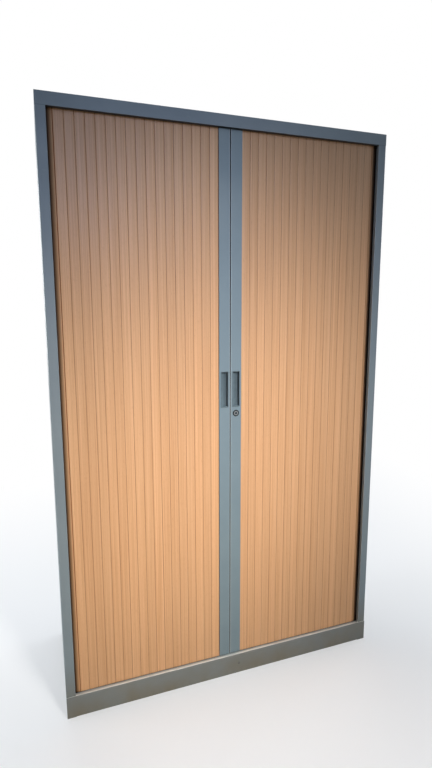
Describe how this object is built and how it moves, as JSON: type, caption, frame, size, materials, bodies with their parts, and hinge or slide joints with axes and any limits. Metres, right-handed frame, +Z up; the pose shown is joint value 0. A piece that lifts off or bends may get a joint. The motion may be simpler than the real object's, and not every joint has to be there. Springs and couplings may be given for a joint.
{
  "type": "tambour door cupboard",
  "caption": "Tall sheet-steel office cupboard with slatted tambour doors that slide sideways into its sides, finger pulls, a cylinder lock and adjustable shelves.",
  "frame": {"origin": "on the floor, under the middle of the cupboard", "axes": "+X to the right seen from the front, +Y from the front to the back, +Z up"},
  "size_m": [1.2, 0.43, 1.98],
  "materials": {
    "silver_paint": "satin silver-grey powder coat on sheet steel",
    "post_paint": "satin silver-grey powder coat on extruded aluminium",
    "beech_slats": "beech-effect foil on extruded plastic",
    "track_plastic": "black moulded plastic",
    "pull_plastic": "grey moulded plastic",
    "lock_chrome": "nickel plated",
    "zinc_steel": "zinc plated"
  },
  "bodies": {
    "carcass": {"left_side_panel": "silver_paint", "right_side_panel": "silver_paint", "top_cap": "silver_paint", "plinth_front": "silver_paint", "left_back_panel": "silver_paint", "right_back_panel": "silver_paint", "back_stiffener": "silver_paint", "top_stiffener": "silver_paint", "base_pan": "silver_paint", "head_pan": "silver_paint", "floor_tray": "silver_paint", "ceiling_tray": "silver_paint", "left_liner": "silver_paint", "right_liner": "silver_paint", "inner_back_panel": "silver_paint", "left_front_rack": "silver_paint", "left_rear_rack": "silver_paint", "right_front_rack": "silver_paint", "right_rear_rack": "silver_paint", "shelf_1": "silver_paint", "shelf_2": "silver_paint", "shelf_3": "silver_paint", "shelf_4": "silver_paint", "shelf_clips": "zinc_steel", "bottom_front_rail": "track_plastic", "bottom_side_rails": "track_plastic", "bottom_rear_rails": "track_plastic", "bottom_track_bends": "track_plastic", "top_front_rail": "track_plastic", "top_side_rails": "track_plastic", "top_rear_rails": "track_plastic", "top_track_bends": "track_plastic", "levelling_feet": "zinc_steel", "foot_brackets": "zinc_steel"},
    "left_door": {"left_post": "post_paint", "left_post_shoes": "track_plastic", "left_finger_pull": "pull_plastic", "left_curtain_slats": "beech_slats", "lock_keeper": "zinc_steel"},
    "right_door": {"right_post": "post_paint", "right_post_shoes": "track_plastic", "right_finger_pull": "pull_plastic", "right_curtain_slats": "beech_slats", "lock_housing": "lock_chrome"},
    "lock": {"lock_plug": "lock_chrome", "lock_cam": "zinc_steel"}
  },
  "joints": [
    {"name": "left_door_slide", "type": "slide", "parent": "carcass", "child": "left_door", "axis": [-1, 0, 0], "range_m": [0, 0.51], "deforming": ["left_curtain_slats"]},
    {"name": "right_door_slide", "type": "slide", "parent": "carcass", "child": "right_door", "axis": [1, 0, 0], "range_m": [0, 0.51], "deforming": ["right_curtain_slats"]},
    {"name": "lock_turn", "type": "hinge", "parent": "right_door", "child": "lock", "pos_m": [0.02135, -0.1965, 1.006], "axis": [0, 1, 0], "range_deg": [0, 90]}
  ]
}
